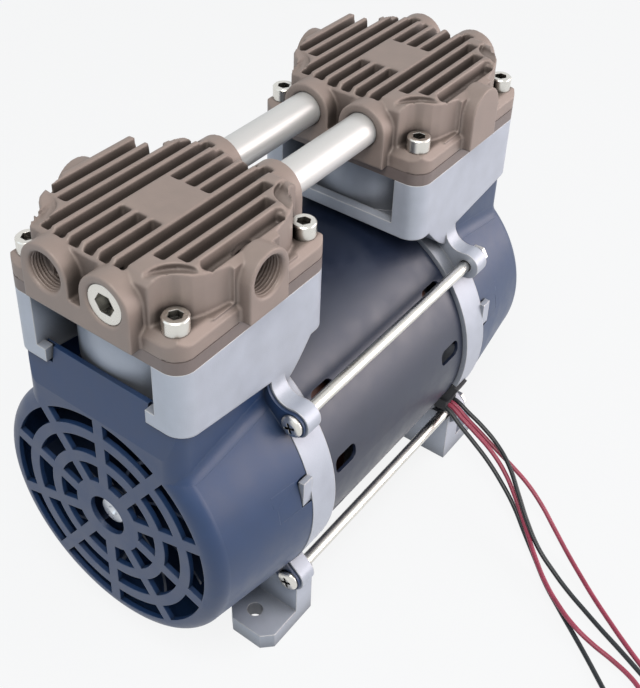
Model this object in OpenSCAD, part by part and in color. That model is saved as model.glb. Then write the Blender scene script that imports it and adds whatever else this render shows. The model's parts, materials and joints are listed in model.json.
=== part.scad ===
// Twin-cylinder oil-free rocking-piston vacuum pump.
// +X faces the side port and the leads, Y is the motor axis with the near unit at -Y,
// +Z is up and the origin is the centre of the plane that the feet stand on.

/* [Layout] */
// Distance between the two cylinder axes, along the motor
cylinder_pitch = 150; // [147:0.5:156]
// Height of the motor axis over the feet
axis_height = 74.3; // [73:0.1:78]
// Height of the crankcase decks over the feet
deck_height = 170; // [168:0.5:174]

/* [Motor] */
// Outer radius of the motor shell
shell_r = 62.5; // [60.5:0.1:64.5]
// Wall of the motor shell
shell_wall = 1.6; // [1.2:0.1:2.2]
// Half length of the stator stack
stack_half = 30; // [24:0.5:31]
// Bore radius of the stator
stator_bore_r = 33; // [30:0.5:36]
// Air gap between rotor and stator
air_gap = 0.5; // [0.35:0.05:0.8]
// Radius of the shaft in the rotor
shaft_core_r = 10; // [9:0.25:12]
// Radius of the shaft in its bearings
shaft_bearing_r = 7.5; // [7:0.25:8.5]
// Radius of the shaft ends that carry eccentric and fan
shaft_end_r = 6; // [5:0.25:6.5]

/* [Crankcase] */
// Width of the cylinder block across the pump
block_w = 86.4; // [84:0.2:90]
// Depth of the cylinder block along the motor
block_d = 85; // [82:0.5:88]
// Corner radius of the cylinder block
block_corner = 8; // [5:0.5:10]
// Drop of the block's outer skirt below the deck
skirt_outer = 29; // [26:0.5:30]
// Drop of the block's skirt at the flange
skirt_inner = 35.5; // [33:0.5:37]
// Thickness of the end flange
flange_t = 8; // [7:0.5:9]
// Radius of the ring collar round the motor shell
collar_r = 65; // [64.8:0.1:67]
// Length of the ring collar
collar_len = 15; // [13:0.5:17]
// Sideways place of the tie rods
rod_x = 54.6; // [53.5:0.1:56]
// Height of the tie rods over and under the motor axis
rod_z = 45.6; // [45:0.1:47]
// Radius of the tie rod lugs
lug_r = 6.5; // [6.1:0.1:7.5]
// Outer face of the legs, from the middle
leg_outer_x = 58; // [57:0.25:60]
// Inner face of the legs, from the middle
leg_inner_x = 34; // [31:0.5:36]
// Thickness of the foot plates
foot_t = 8; // [6:0.25:9]
// Reach of the foot plates beyond the flange
foot_reach = 19.6; // [18:0.2:24]
// Sideways place of the foot holes
foot_hole_x = 43.3; // [42.5:0.1:45]
// Distance of the foot holes beyond the flange
foot_hole_reach = 10.2; // [9.5:0.1:11]
// Radius of the foot holes
foot_hole_r = 3.4; // [2.8:0.1:3.8]

/* [Cylinder and valves] */
// Bore radius of the cylinders
bore_r = 27; // [25.5:0.25:27.5]
// Wall of the cylinder sleeves
sleeve_wall = 5; // [4:0.25:5.5]
// Thickness of the valve plates
plate_t = 5.5; // [4.5:0.25:7]
// Thickness of the reeds
reed_t = 0.3; // [0.2:0.05:0.4]
// Width of the reeds
reed_w = 10; // [8:0.5:11]
// Length of the reeds
reed_len = 28; // [26:0.5:29]
// Throw of the eccentrics, half of the stroke
throw = 4.5; // [3:0.25:5]

/* [Head] */
// Height of the head's top over the valve plate
head_h = 27.9; // [27:0.1:30]
// Height of the screw seats over the valve plate
seat_h = 8.9; // [8:0.1:10]
// Sideways place of the head screws
screw_x = 35.6; // [35:0.1:36]
// Place of the head screws along the motor, from the cylinder axis
screw_y = 35.05; // [34.5:0.05:35.5]
// Radius of the head screws' shanks
screw_r = 3; // [2.5:0.1:3.2]
// Distance between fin grooves
groove_pitch = 7.25; // [7:0.05:7.5]
// Width of the fin grooves
groove_w = 3.9; // [3:0.1:4.4]
// Depth of the fin grooves
groove_depth = 6; // [4:0.25:7]
// Sideways place of the ports and transfer tubes
port_x = 14.4; // [14.3:0.1:15]
// Height of the port axes over the valve plate
port_h = 15.5; // [15:0.1:16.5]
// Radius of the threaded ports
port_r = 7.9; // [6.8:0.1:8.4]
// Depth of the threaded ports
port_depth = 13; // [10:0.5:14]
// Radius of the port bosses
boss_r = 11.6; // [11:0.1:11.9]
// Outer radius of the transfer tubes
tube_r = 7.5; // [6.5:0.1:7.8]
// Wall of the transfer tubes
tube_wall = 1.2; // [0.8:0.1:2]

/* [Fan cover] */
// Depth of the fan cover from the flange to its grille
cover_depth = 50.3; // [49:0.1:54]
// Wall of the fan cover
cover_wall = 2.2; // [1.8:0.1:2.8]
// Radius of the flat grille face
face_r = 52; // [51.5:0.1:53]
// Radius of the edge round the grille face
face_edge_r = 6.8; // [4:0.2:7.5]
// Radius of the cover's rim at the flange
rim_r = 64.7; // [62:0.1:64.8]
// Half width of the cover's neck
neck_half_w = 40.5; // [38:0.25:42]
// Number of grille spokes
spoke_count = 10; // [8:1:12]
// Width of the grille spokes
spoke_w = 5; // [3.5:0.25:6]
// Radius of the hub hole in the grille
hub_hole_r = 9.2; // [8:0.1:10]

/* [Fan] */
// Radius of the fan
fan_r = 46; // [42:0.5:48]
// Number of fan blades
blade_count = 9; // [7:1:11]
// Thickness of the fan blades
blade_t = 1.6; // [1.2:0.1:2.2]

/* [Leads] */
// Outer diameter of the four leads
lead_d = 2.2; // [1.8:0.1:2.3]

/* [Hidden] */
$fn = 96;

// Overrun of every cut
eps = 0.5;
// Running clearance of shafts and pins, radial
run_gap = 0.03;
// Gap between parts that are pressed or screwed together
fit_gap = 0.02;
// Gap round parts that are laid in by hand
lay_gap = 0.1;
// Clearance of screws in their holes, radial
screw_gap = 0.3;

// Rod bearing, 25 x 47 x 12
rod_bearing_bore_r = 12.5;
rod_bearing_r = 23.5;
rod_bearing_w = 12;
// Main bearing, 35 mm outside and 11 mm wide
main_bearing_r = 17.5;
main_bearing_w = 11;
// Rings and shields of both bearings
bearing_ring_w = 3;
bearing_shield_in = 0.6;

// Radius of the sleeve and of the casting's ring round it, and the sleeve's lower end over the shell
sleeve_len = 33;
shell_gap = 0.3;
sleeve_z = max(deck_height - sleeve_len, axis_height + shell_r + shell_gap);
sleeve_r = bore_r + sleeve_wall;
ring_wall = 4.5;
sleeve_gap = 0.05;
deck_ring_r = sleeve_r + ring_wall;

// Places along the motor, for the unit on the +Y side
leg_lap = 3;
crank_y = cylinder_pitch / 2;
crank_gap = 1;
flange_out = crank_y - rod_bearing_w / 2 - crank_gap;
flange_in = flange_out - flange_t;
leg_in = flange_out - flange_t - leg_lap;
collar_in = flange_out - collar_len;
shell_seat = 4;
shell_end = collar_in + shell_seat;
end_wall_t = 5;
wall_in = flange_out - end_wall_t;
block_in_y = crank_y - block_d / 2;
block_out_y = crank_y + block_d / 2;

// Crankcase details, from the sleeve outwards
skirt_motor = 28;
gusset_drop = 43;
gusset_start = 11;
gusset_w = 9;
rail_t = 4.5;
liner_step = 1.4;
tap_extra = 2;
skirt_curve = 6;
deck_floor_drop = 26;
front_floor_drop = 31;
window_half_w = 30;
rail_drop = 22;
pocket_wall = 4.6;
pocket_half_d = 23.5;
fillet_r = 8;
tab_w = 4.5;
tab_h = 6;
tab_t = 4;
boss_wall = 5;
boss_set_back = 2;
boss_in = collar_in + boss_set_back;
bearing_shoulder_w = 3;
vent_count = 6;
vent_in_r = 28;
vent_out_r = 55;
vent_spoke_w = 9;
foot_chamfer = 4.5;
rim_tab_w = 2.6;
rim_tab_h = 12;
rim_tab_len = 5;
rim_tab_z = 15.7;
rim_tab_in = 1.6;

// Screws and rods
screw_head_r = 5;
screw_head_h = 6;
screw_edge = 0.5;
screw_socket_af = 5;
screw_len = 30;
tie_rod_r = 2.6;
rod_head_r = 4.9;
rod_head_h = 2.3;
rod_slot_w = 1.1;
head_wall_share = 0.25;
rod_slot_angle = 20;
rod_proud = 1;
rod_nut_af = 8;
rod_nut_h = 3.4;

// Cylinder and piston
piston_gap = 0.3;
cup_r = bore_r - throw - piston_gap;
cup_t = 1;
cup_lip_t = 1;
cup_lip_h = 3.4;
clamp_t = 2.5;
clamp_side_gap = 0.6;
clamp_seat_gap = 0.2;
clamp_socket_share = 0.7;
crown_step = 2;
top_gap = 3;
crown_t = 5;
clamp_screw_r = 2.5;
clamp_screw_len = 14;
clamp_head_r = 4.6;
clamp_head_h = 2;
rod_w = 10;
rod_ring_wall = 4.5;
shank_w = 16;
shank_web = 3;
shank_rib = 3;
rod_len = deck_height - top_gap - clamp_t - cup_t - throw - axis_height;

// Eccentric and counterweight
eccentric_gap = 0.6;
eccentric_w = rod_bearing_w + 2 * (crank_gap - eccentric_gap);
eccentric_in = flange_out + eccentric_gap;
hub_lap = 0.1;
weight_t = 8;
weight_r = 30;
weight_angle = 130;
hub_r = 11;
hub_w = 10;
set_screw_r = 2;
set_screw_gap = 0.3;
set_screw_recess = 0.7;
set_screw_socket = 1.5;
shaft_step = flange_out + eccentric_gap / 2;
shaft_edge = 1;
tip_gap = 4.8;
shaft_tip = flange_out + cover_depth - tip_gap;
core_end_gap = 2;

// Fan
fan_gap = 0.8;
fan_in = eccentric_in + eccentric_w + hub_w + fan_gap;
fan_plate_t = 1.5;
fan_hub_r = 9;
fan_w = 19;
blade_root_r = 14;
blade_curve_r = 34;
blade_edge = 0.6;

// Motor inside
stack_r = shell_r - shell_wall - lay_gap;
slot_count = 24;
slot_depth_r = 46;
slot_w = 3.4;
winding_in_r = 36.5;
winding_out_r = 56;
winding_len = 17;
winding_corner = 5;
winding_gap = 0.3;
rotor_r = stator_bore_r - air_gap;
end_ring_in_r = 20;
end_ring_w = 6;
end_ring_step = 2;
vent_slot_len = 14;
vent_slot_h = 8;
vent_slot_corner = 3;
vent_slot_y = 41.5;
vent_slot_angles = [8.8, 38, -23.4, 171.2, 142, 203.4];

// Head
head_z = deck_height + plate_t;
seat_z = head_z + seat_h;
head_top = head_z + head_h;
port_z = head_z + port_h;
flange_edge = 3;
core_half_x = 42;
core_half_y = 40;
screw_recess_r = 11.2;
crown_half_x = 34.5;
crown_drop = 4.4;
crown_end = 3;
port_face_y = 47.3;
side_face_x = 47.7;
side_boss_half = 10.8;
notch_h = 9;

pad_half_y = 13;
chamber_half_y = 21;
chamber_out_x = 29;
chamber_wall = 2.5;
chamber_h = 17;
passage_r = 4.5;
port_chamfer = 0.9;
side_port_depth = 14;
socket_depth = 12;
socket_gap = 0.05;
seal_r = 1.2;
seal_groove_r = 1.15;
seal_reach = 5;
gasket_half = 31;
gasket_w = 2;
gasket_h = 1.5;
gasket_side_gap = 1.5;
gasket_bar_share = 0.8;
groove_end_front = 1.5;
groove_end_rear = 4;
groove_side_step = 1;
groove_pad_reach = 10;
plug_len = 11;
plug_socket_af = 8;
plug_socket_depth = 5;
plug_set_back = 0.8;
tube_end_gap = 1;

// Valves, from the cylinder axis
reed_x = 14;
reed_root = -17;
rivet_y = -13.5;
rivet_r = 1.5;
rivet_hole_gap = 0.4;
rivet_head_r = 2.8;
rivet_head_h = 0.7;
valve_hole_r = 2.2;
valve_hole_y = 3;
valve_hole_pitch = 5;
stop_t = 1.2;
stop_gap = 1.6;

// Fan cover
cover_back = flange_out + fit_gap;
cover_front = flange_out + cover_depth;
cover_slope = (rim_r - face_r - face_edge_r) / (cover_depth - face_edge_r);
tongue_drop = 23;
neck_top = deck_height - tongue_drop;
neck_corner = 8;
ear_t = 1.4;
ear_inset = 1;
inner_edge_r = 0.4;
neck_tilt = 11;
neck_tilt_drop = 43;
neck_tilt_z = deck_height - neck_tilt_drop;
cover_gap = 0.6;
tongue_half_w = window_half_w - cover_gap;
tongue_t = 2.4;
tongue_front = block_out_y - tab_t - cover_gap;
tongue_back = max(tongue_front - tongue_t, crank_y + deck_ring_r + cover_gap);
ring_edge_shares = [0.327, 0.5, 0.596, 0.75, 0.846, 0.985];

// Leads and grommet
grommet_face_x = 58;
grommet_y = 57;
grommet_z = 40;
grommet_half_y = 5;
grommet_half_z = 3;
grommet_r = 66.5;
grommet_angles = [-36, -19];
grommet_play = 1;
grommet_lip = 0.8;
grommet_block = 6;
lead_sides = 8;

function polar(r, a) = [r * cos(a), r * sin(a)];

// Slabs of a 2D outline along the motor (X, Z) or across it (Y, Z)
module along_y(y0, y1) {
    translate([0, y1, 0]) rotate([90, 0, 0]) linear_extrude(y1 - y0) children();
}
module along_x(x0, x1) {
    translate([x0, 0, 0]) rotate([90, 0, 90]) linear_extrude(x1 - x0) children();
}
module at_axis() translate([0, axis_height]) children();
module revolve_y(z = axis_height) translate([0, 0, z]) rotate([-90, 0, 0]) rotate_extrude() children();
module rounded_rect(w, d, r) {
    square([w - 2 * r, d], center = true);
    square([w, d - 2 * r], center = true);
    for (x = [-1, 1], y = [-1, 1]) translate([x * (w / 2 - r), y * (d / 2 - r)]) circle(r);
}
module both_sides() {
    children();
    mirror([1, 0, 0]) children();
}
module four_rods() for (x = [-1, 1], z = [-1, 1]) translate([x * rod_x, axis_height + z * rod_z]) children();
module four_screws() for (x = [-1, 1], y = [-1, 1]) translate([x * screw_x, y * screw_y, 0]) children();
module near() mirror([0, 1, 0]) children();

// Crankcase casting
module upper_web(inset) {
    lug = [rod_x, axis_height + rod_z];
    fillet_x = block_w / 2 + fillet_r;
    fillet = [fillet_x, lug[1] + sqrt(pow(lug_r + fillet_r, 2) - pow(fillet_x - rod_x, 2))];
    tangent = lug + (fillet - lug) * (lug_r - inset) / (lug_r + fillet_r);
    top = deck_height - skirt_inner;
    difference() {
        polygon([[0, axis_height], lug, tangent, fillet, [block_w / 2 - inset, fillet[1]],
            [block_w / 2 - inset, top], [0, top]]);
        translate(fillet) circle(fillet_r + inset);
    }
}
module flange_outline(inset) {
    at_axis() circle(collar_r - inset);
    flange_lugs(inset);
}
module flange_lugs(inset) {
    four_rods() circle(lug_r - inset);
    both_sides() upper_web(inset);
    at_axis() both_sides() rotate(-atan(rod_z / rod_x)) translate([0, inset - lug_r])
        square([norm([rod_x, rod_z]), 2 * (lug_r - inset)]);
}
module block_side() {
    in_z = deck_height - skirt_motor;
    mid_z = deck_height - skirt_inner;
    polygon([[block_in_y, deck_height], [block_in_y, in_z],
        for (a = [0:15:90]) [flange_in - skirt_curve + skirt_curve * sin(a),
            in_z - (in_z - mid_z) * (1 - cos(a))],
        [flange_out, mid_z], [block_out_y, deck_height - skirt_outer],
        [block_out_y, deck_height]]);
}
module block() {
    intersection() {
        translate([0, crank_y, deck_height - skirt_inner]) linear_extrude(skirt_inner)
            rounded_rect(block_w, block_d, block_corner);
        along_x(-block_w / 2, block_w / 2) block_side();
    }
}
module gussets() {
    z0 = deck_height - skirt_motor;
    y0 = block_in_y + gusset_start;
    both_sides() along_x(block_w / 2 - gusset_w, block_w / 2) polygon([[y0, z0 + eps],
        for (t = [0:0.1:1]) [y0 + (flange_in + eps - y0) * t,
            z0 - (gusset_drop - skirt_motor) * (t + sin(90 * t)) / 2],
        [flange_in + eps, z0 + eps]]);
}
module block_cuts() {
    low = deck_height - skirt_inner - eps;
    // Seat of the sleeve and the way of the connecting rod
    translate([0, crank_y, sleeve_z - fit_gap]) cylinder(r = sleeve_r + sleeve_gap, h = deck_height);
    translate([0, crank_y, low]) cylinder(r = bore_r + piston_gap, h = skirt_inner + 2 * eps);
    // Windows to both sides of the sleeve, pockets between the posts and the open front
    difference() {
        union() {
            translate([-window_half_w, block_in_y + rail_t, deck_height - deck_floor_drop])
                cube([2 * window_half_w, block_d, deck_floor_drop + eps]);
            translate([-window_half_w, crank_y, deck_height - front_floor_drop])
                cube([2 * window_half_w, block_d, front_floor_drop + eps]);
            translate([-window_half_w, block_in_y - eps, deck_height - rail_drop])
                cube([2 * window_half_w, rail_t + 2 * eps, rail_drop + eps]);
            translate([-window_half_w, crank_y + eps, low])
                cube([2 * window_half_w, block_d, skirt_inner + 2 * eps]);
            both_sides()
                translate([window_half_w - eps, crank_y - pocket_half_d, deck_height - deck_floor_drop])
                cube([block_w / 2 - pocket_wall - window_half_w + eps, 2 * pocket_half_d,
                    deck_floor_drop + eps]);
        }
        translate([0, crank_y, low - eps]) cylinder(r = deck_ring_r, h = skirt_inner + 4 * eps);
    }
    translate([0, crank_y, seat_z - screw_len - tap_extra])
        four_screws() cylinder(r = screw_r + fit_gap, h = screw_len);
}
module cover_tabs() {
    both_sides() translate([window_half_w - tab_w, block_out_y - tab_t, deck_height - skirt_outer])
        cube([tab_w + eps, tab_t, tab_h]);
}
module rim_tabs() {
    both_sides() translate([collar_r - rim_tab_w - rim_tab_in, flange_out - eps,
        axis_height + rim_tab_z - rim_tab_h / 2]) cube([rim_tab_w, rim_tab_len + eps, rim_tab_h]);
}
module foot() {
    linear_extrude(foot_t) polygon([[leg_inner_x, leg_in],
        [leg_inner_x, flange_out + foot_reach - foot_chamfer],
        [leg_inner_x + foot_chamfer, flange_out + foot_reach],
        [leg_outer_x - foot_chamfer, flange_out + foot_reach],
        [leg_outer_x, flange_out + foot_reach - foot_chamfer], [leg_outer_x, leg_in]]);
}
module crankcase() {
    color([0.72, 0.75, 0.80]) difference() {
        union() {
            difference() {
                block();
                block_cuts();
            }
            difference() {
                union() {
                    along_y(flange_in, flange_out) flange_lugs(0);
                    along_y(flange_in, flange_out) translate([-block_w / 2, deck_height - skirt_inner - eps])
                        square([block_w, 2 * eps]);
                    along_y(collar_in, flange_out) at_axis() circle(collar_r);
                }
                along_y(shell_end - eps, wall_in) at_axis() circle(shell_r - shell_wall - liner_step);
            }
            along_y(boss_in, flange_out) at_axis() circle(main_bearing_r + boss_wall);
            along_y(leg_in, flange_out) both_sides() translate([leg_inner_x, 0])
                square([leg_outer_x - leg_inner_x, axis_height - rod_z]);
            both_sides() foot();
            gussets();
            cover_tabs();
            rim_tabs();
        }
        along_y(collar_in - eps, shell_end) at_axis() circle(shell_r + fit_gap);
        along_y(boss_in - eps, flange_out + eps) at_axis()
            circle(main_bearing_r - bearing_shoulder_w);
        along_y(flange_out - main_bearing_w, flange_out + eps) at_axis()
            circle(main_bearing_r + fit_gap);
        along_y(wall_in - eps, flange_out + eps) at_axis() difference() {
            circle(vent_out_r);
            circle(vent_in_r);
            for (i = [0:vent_count - 1]) rotate(i * 360 / vent_count)
                translate([0, -vent_spoke_w / 2]) square([vent_out_r + eps, vent_spoke_w]);
        }
        along_y(leg_in - eps, flange_out + eps) four_rods() circle(tie_rod_r + screw_gap);
        both_sides() translate([foot_hole_x, flange_out + foot_hole_reach, -eps])
            cylinder(r = foot_hole_r, h = foot_t + 2 * eps);
        children();
    }
}
module grommet_sector(outer_r, inner_r, play) {
    at_axis() intersection() {
        difference() {
            circle(outer_r);
            circle(inner_r);
        }
        polygon([[0, 0], polar(2 * grommet_r, grommet_angles[0] - play),
            polar(2 * grommet_r, grommet_angles[1] + play)]);
    }
}
module grommet_notch() {
    along_y(grommet_y - grommet_half_y - fit_gap, grommet_y + grommet_half_y + fit_gap)
        grommet_sector(grommet_r + eps, shell_r - shell_wall - grommet_lip - fit_gap, grommet_play);
}
module near_crankcase() near() crankcase();
module far_crankcase() crankcase() grommet_notch();

// Fan cover moulding
module cover_form(inset) {
    back = cover_back - inset - eps;
    front = cover_front - inset;
    edge = max(face_edge_r - inset, inner_edge_r);
    flat = face_r + face_edge_r - inset - edge;
    revolve_y() {
        translate([0, back]) square([flat, front - back]);
        translate([flat, front - edge]) circle(edge);
        polygon([[0, front - edge], [flat + edge, front - edge],
            [rim_r - inset + cover_slope * (inset + eps), back], [0, back]]);
    }
    neck_form(inset, back, front);
}
module neck_form(inset, back, front) {
    half_w = neck_half_w - inset;
    corner = neck_corner - inset;
    intersection() {
        translate([0, 0, axis_height]) linear_extrude(deck_height - axis_height) {
            translate([-half_w, back]) square([2 * half_w, front - corner - back]);
            translate([corner - half_w, back]) square([2 * half_w - 2 * corner, front - back]);
            for (x = [-1, 1]) translate([x * (half_w - corner), front - corner]) circle(corner);
        }
        along_x(-neck_half_w, neck_half_w) polygon([[back - eps, axis_height - eps],
            [front, axis_height - eps], [front, neck_tilt_z],
            [front - (deck_height - neck_tilt_z) * tan(neck_tilt), deck_height], [back - eps, deck_height]]);
    }
}
// Thin rim with ears under the tie rods, cut to the flange's outline
module cover_rim() {
    along_y(cover_back, cover_back + ear_t) flange_outline(ear_inset);
}
module block_clearance() {
    // Room for the crankcase block over the neck, with the tongue left standing
    low = deck_height - skirt_inner - cover_gap;
    difference() {
        along_x(-block_w, block_w) polygon([[flange_in, low], [flange_out, low],
            [2 * block_out_y - flange_out, deck_height - 2 * skirt_outer + skirt_inner - cover_gap],
            [2 * block_out_y, 2 * deck_height], [flange_in, 2 * deck_height]]);
        translate([-tongue_half_w, tongue_back, 0])
            cube([2 * tongue_half_w, tongue_front - tongue_back, neck_top]);
        translate([-tongue_half_w + tab_w + cover_gap, tongue_back, 0])
            cube([2 * (tongue_half_w - tab_w - cover_gap), block_d, neck_top]);
    }
}
module grille() {
    difference() {
        for (i = [0:2:len(ring_edge_shares) - 1]) difference() {
            circle(face_r * ring_edge_shares[i + 1]);
            circle(face_r * ring_edge_shares[i]);
        }
        for (i = [0:spoke_count - 1]) rotate(90 + i * 360 / spoke_count)
            translate([0, -spoke_w / 2]) square([2 * face_r, spoke_w]);
    }
    circle(hub_hole_r);
}
module fan_cover() {
    color([0.20, 0.25, 0.33]) difference() {
        union() {
            cover_form(0);
            cover_rim();
        }
        cover_form(cover_wall);
        block_clearance();
        along_y(flange_in, cover_back) square(4 * deck_height, center = true);
        along_y(flange_in, cover_back + ear_t + eps) four_rods() circle(tie_rod_r + screw_gap);
        both_sides() translate([collar_r - rim_tab_w - rim_tab_in - cover_gap, flange_in,
            axis_height + rim_tab_z - rim_tab_h / 2 - cover_gap])
            cube([rim_tab_w + fillet_r, cover_depth / 2, rim_tab_h + 2 * cover_gap]);
        along_y(cover_front - 2 * cover_wall, cover_front + eps) at_axis() grille();
    }
}
module near_fan_cover() near() fan_cover();
module far_fan_cover() fan_cover();

// Cylinder sleeve
module cylinder_sleeve() {
    color([0.22, 0.25, 0.30]) translate([0, crank_y, sleeve_z]) difference() {
        cylinder(r = sleeve_r, h = deck_height - sleeve_z);
        translate([0, 0, -eps]) cylinder(r = bore_r, h = deck_height);
    }
}
module near_cylinder() near() cylinder_sleeve();
module far_cylinder() cylinder_sleeve();

// Valve plate, reeds and their rivets, round the cylinder axis
module valve_plate() {
    color([0.53, 0.50, 0.48]) translate([0, 0, deck_height]) difference() {
        linear_extrude(plate_t) rounded_rect(block_w, block_d, block_corner);
        translate([0, 0, -eps]) {
            four_screws() cylinder(r = screw_r + screw_gap, h = plate_t + 2 * eps);
            for (x = [-1, 1]) {
                for (i = [-1, 0, 1]) translate([x * reed_x, valve_hole_y + i * valve_hole_pitch, 0])
                    cylinder(r = valve_hole_r, h = plate_t + 2 * eps);
                translate([x * reed_x, rivet_y, 0])
                    cylinder(r = rivet_r + fit_gap, h = plate_t + 2 * eps);
            }
        }
    }
}
module reed() {
    linear_extrude(reed_t) difference() {
        union() {
            translate([-reed_w / 2, reed_root]) square([reed_w, reed_len - reed_w / 2]);
            translate([0, reed_root + reed_len - reed_w / 2]) circle(reed_w / 2);
        }
        translate([0, rivet_y]) circle(rivet_r + rivet_hole_gap);
    }
}
module intake_reed() color([0.75, 0.77, 0.80]) translate([-reed_x, 0, deck_height - reed_t]) reed();
module exhaust_reed() color([0.75, 0.77, 0.80]) translate([reed_x, 0, head_z]) reed();
module reed_hardware() {
    color([0.62, 0.62, 0.64]) {
        // Rivet of the intake reed, its head under the reed
        translate([-reed_x, rivet_y, deck_height - reed_t - rivet_hole_gap - rivet_head_h]) {
            cylinder(r = rivet_head_r, h = rivet_head_h);
            cylinder(r = rivet_r, h = rivet_head_h + rivet_hole_gap + reed_t + plate_t);
        }
        // Stop and rivet of the exhaust reed
        translate([reed_x, 0, head_z + reed_t + stop_gap]) linear_extrude(stop_t) {
            translate([-reed_w / 2, reed_root]) square([reed_w, reed_len - reed_w / 2]);
            translate([0, reed_root + reed_len - reed_w / 2]) circle(reed_w / 2);
        }
        translate([reed_x, rivet_y, deck_height])
            cylinder(r = rivet_r, h = plate_t + reed_t + stop_gap + stop_t);
    }
}
module at_near_head() translate([0, -crank_y, 0]) children();
module at_far_head() translate([0, crank_y, 0]) children();
module near_valve_plate() at_near_head() valve_plate();
module far_valve_plate() at_far_head() valve_plate();
module near_reed_hardware() at_near_head() reed_hardware();
module far_reed_hardware() at_far_head() reed_hardware();
module near_intake_reed() at_near_head() intake_reed();
module near_exhaust_reed() at_near_head() exhaust_reed();
module far_intake_reed() at_far_head() intake_reed();
module far_exhaust_reed() at_far_head() exhaust_reed();

// Seal between valve plate and head: a frame with a bar between the two chambers
module seal_frame(w) {
    depth = 2 * (chamber_half_y + gasket_side_gap);
    difference() {
        rounded_rect(2 * gasket_half + w, depth + 2 * w, gasket_w + w / 2);
        rounded_rect(2 * gasket_half - w, depth, gasket_w);
    }
    square([w * gasket_bar_share, depth + w], center = true);
}
module head_seal() {
    color([0.12, 0.12, 0.12]) translate([0, 0, head_z]) linear_extrude(gasket_h) seal_frame(gasket_w);
}
module near_head_seal() at_near_head() head_seal();
module far_head_seal() at_far_head() head_seal();

// Cylinder head casting, round the cylinder axis
module groove(x, y0, y1) {
    translate([x * groove_pitch, 0, head_top - groove_depth]) linear_extrude(2 * groove_depth) {
        translate([-groove_w / 2, y0 + groove_w / 2]) square([groove_w, y1 - y0 - groove_w]);
        for (y = [y0 + groove_w / 2, y1 - groove_w / 2]) translate([0, y]) circle(groove_w / 2);
    }
}
module fin_grooves() {
    long_front = groove_end_front - core_half_y;
    long_rear = core_half_y - groove_end_rear;
    short = pad_half_y + groove_pad_reach;
    for (x = [-1, 0, 1]) {
        groove(x, long_front, -pad_half_y);
        groove(x, pad_half_y, long_rear);
    }
    for (x = [-2, 2]) groove(x, long_front, long_rear);
    groove(-3, long_front + groove_side_step, long_rear + groove_side_step);
    groove(3, -short - groove_w, short + groove_side_step);
    for (x = [-4, 4]) groove(x, -short, short);
    for (x = [-5, 5]) groove(x, groove_side_step - short, short - groove_side_step);
}
module core_outline() {
    difference() {
        square([2 * core_half_x, 2 * core_half_y], center = true);
        for (x = [-1, 1], y = [-1, 1]) translate([x * screw_x, y * screw_y]) {
            circle(screw_recess_r);
            translate([x > 0 ? 0 : -core_half_x, -screw_recess_r]) square([core_half_x, 2 * screw_recess_r]);
            translate([-screw_recess_r, y > 0 ? 0 : -core_half_x]) square([2 * screw_recess_r, core_half_x]);
        }
    }
}
module head_flange() {
    intersection() {
        translate([0, 0, head_z]) linear_extrude(seat_h) rounded_rect(block_w, block_d, block_corner);
        along_x(-block_w, block_w) polygon([[-block_d / 2, head_z], [-block_d / 2, seat_z - flange_edge],
            [flange_edge - block_d / 2, seat_z], [block_d / 2 - flange_edge, seat_z],
            [block_d / 2, seat_z - flange_edge], [block_d / 2, head_z]]);
        along_y(-block_d, block_d) polygon([[-block_w / 2, head_z], [-block_w / 2, seat_z - flange_edge],
            [flange_edge - block_w / 2, seat_z], [block_w / 2 - flange_edge, seat_z],
            [block_w / 2, seat_z - flange_edge], [block_w / 2, head_z]]);
    }
}
module head_core() {
    intersection() {
        translate([0, 0, seat_z - eps]) linear_extrude(head_top - seat_z + eps) core_outline();
        along_y(-core_half_y, core_half_y) polygon([[-core_half_x, 0], [-core_half_x, head_top - crown_drop],
            [-crown_half_x, head_top], [crown_half_x, head_top],
            [core_half_x, head_top - crown_drop], [core_half_x, 0]]);
        along_x(-core_half_x, core_half_x) polygon([[-core_half_y, 0], [-core_half_y, head_top - crown_end],
            [crown_end - core_half_y, head_top], [core_half_y - crown_end, head_top],
            [core_half_y, head_top - crown_end], [core_half_y, 0]]);
    }
}
module port_bosses() {
    for (x = [-1, 1]) {
        along_y(-port_face_y, port_face_y) translate([x * port_x, port_z]) circle(boss_r);
        along_y(-port_face_y, port_face_y) translate([x * port_x - boss_r, head_z])
            square([2 * boss_r, port_h]);
    }
    along_y(-port_face_y, port_face_y) translate([-port_x, head_z]) square([2 * port_x, notch_h]);
    along_x(-side_face_x, side_face_x) translate([0, port_z]) circle(side_boss_half);
    along_x(-side_face_x, side_face_x) translate([-side_boss_half, head_z])
        square([2 * side_boss_half, port_h]);
}
module chambers() {
    both_sides() translate([chamber_wall / 2, -chamber_half_y, head_z - eps])
        cube([chamber_out_x - chamber_wall / 2, 2 * chamber_half_y, chamber_h + eps]);
}
module port_bore(depth) {
    // Drilled along +Y from the face at y = 0, with the passage into the chamber
    along_y(-eps, depth) circle(port_r);
    translate([0, -eps, 0]) rotate([-90, 0, 0])
        cylinder(r1 = port_r + port_chamfer + eps, r2 = port_r, h = port_chamfer + eps);
    along_y(0, port_face_y - chamber_half_y + eps) circle(passage_r);
}
module tube_socket() {
    along_y(-eps, socket_depth) circle(tube_r + socket_gap);
    along_y(0, port_face_y - chamber_half_y + eps) circle(passage_r);
    along_y(seal_reach - seal_r, seal_reach + seal_r) circle(tube_r + 2 * seal_groove_r);
}
module head() {
    color([0.58, 0.53, 0.49]) difference() {
        union() {
            head_flange();
            head_core();
            port_bosses();
        }
        chambers();
        fin_grooves();
        translate([0, 0, head_z - eps]) four_screws() cylinder(r = screw_r + screw_gap, h = head_h);
        translate([0, 0, seat_z]) four_screws() cylinder(r = screw_recess_r, h = head_h);
        translate([0, 0, head_z - eps]) linear_extrude(gasket_h + eps + lay_gap)
            seal_frame(gasket_w + 2 * lay_gap);
        children();
    }
}
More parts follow.
